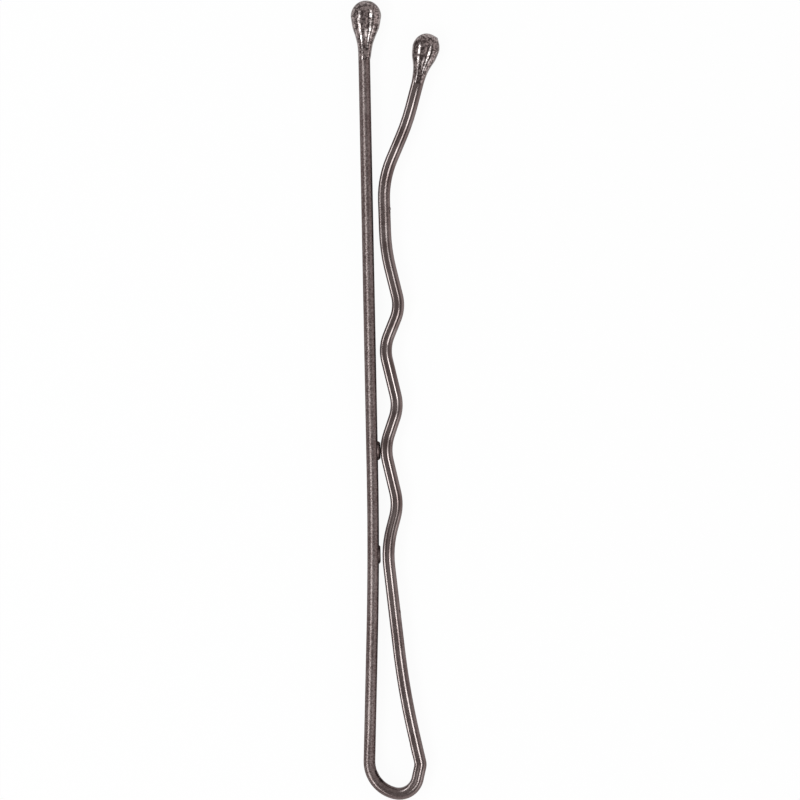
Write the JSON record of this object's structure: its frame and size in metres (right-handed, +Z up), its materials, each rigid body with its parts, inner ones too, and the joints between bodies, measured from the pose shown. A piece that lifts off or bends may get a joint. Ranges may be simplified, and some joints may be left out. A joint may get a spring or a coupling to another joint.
{
  "type": "bobby pin",
  "caption": "Flat-wire hair pin: a straight leg and a crimped, flared leg joined by a sprung bow, with rounded resin tips, gripping hair between the legs.",
  "frame": {"origin": "under the middle of the pin, on the surface that it lies on", "axes": "+Y along the legs from the bow to the tips, +X from the straight leg to the crimped leg, +Z up through the wire's width"},
  "size_m": [0.0056, 0.0508, 0.002],
  "materials": {
    "satin_lacquered_wire": "satin bronze lacquer over spring steel, slightly grainy",
    "gloss_lacquered_wire": "gloss bronze lacquer over spring steel",
    "tip_resin": "gloss bronze resin, speckled",
    "bead_lacquer": "gloss dark lacquer"
  },
  "bodies": {
    "bow": {"bow": "satin_lacquered_wire"},
    "straight_leg": {"straight_leg": "satin_lacquered_wire", "straight_leg_tip": "tip_resin", "upper_lacquer_bead": "bead_lacquer", "lower_lacquer_bead": "bead_lacquer"},
    "crimped_leg": {"crimped_leg": "gloss_lacquered_wire", "crimped_leg_tip": "tip_resin"}
  },
  "joints": [
    {"name": "straight_leg_flex", "type": "hinge", "parent": "bow", "child": "straight_leg", "pos_m": [-0.00184, -0.01555, 0.00098], "axis": [0, 0, 1], "range_deg": [0, 8], "stiffness_Nm_per_rad": 0.4, "springref_deg": -1.72},
    {"name": "crimped_leg_flex", "type": "hinge", "parent": "bow", "child": "crimped_leg", "pos_m": [0.00058, -0.01551, 0.00098], "axis": [0, 0, -1], "range_deg": [0, 8], "stiffness_Nm_per_rad": 0.4, "springref_deg": -1.72}
  ],
  "couplings": [
    {"joint": "crimped_leg_flex", "follows": "straight_leg_flex", "ratio": 1}
  ]
}
